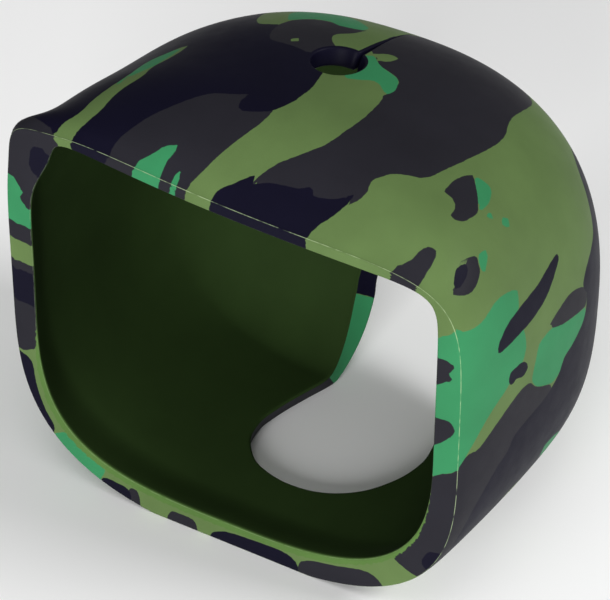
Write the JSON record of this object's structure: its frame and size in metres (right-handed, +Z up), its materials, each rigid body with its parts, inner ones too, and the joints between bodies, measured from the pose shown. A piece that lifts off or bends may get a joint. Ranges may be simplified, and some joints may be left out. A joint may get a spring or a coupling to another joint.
{
  "type": "camera silicone skin",
  "caption": "Soft moulded sleeve for a compact rounded camera, with a thick front rim, thin brow, domed roof, roof hole, rear slit and two flexing rear flaps.",
  "frame": {"origin": "middle of the bottom of the front face, on the rest face", "axes": "+X along the brow to the right as seen from the front, +Y from the front to the back, +Z up"},
  "size_m": [0.0762, 0.0574, 0.0655],
  "materials": {
    "body_silicone": "satin-matt silicone with a camouflage print",
    "left_flap_silicone": "satin-matt silicone with a camouflage print",
    "right_flap_silicone": "satin-matt silicone with a camouflage print"
  },
  "bodies": {
    "body": {"skin_body": "body_silicone"},
    "left_flap": {"left_flap": "left_flap_silicone"},
    "right_flap": {"right_flap": "right_flap_silicone"}
  },
  "joints": [
    {"name": "left_flap_bend", "type": "hinge", "parent": "body", "child": "left_flap", "pos_m": [-0.0374, 0.034, 0.0286], "axis": [0, 0, 1], "range_deg": [0, 20], "stiffness_Nm_per_rad": 0.05},
    {"name": "right_flap_bend", "type": "hinge", "parent": "body", "child": "right_flap", "pos_m": [0.0374, 0.034, 0.0286], "axis": [0, 0, -1], "range_deg": [0, 20], "stiffness_Nm_per_rad": 0.05}
  ]
}
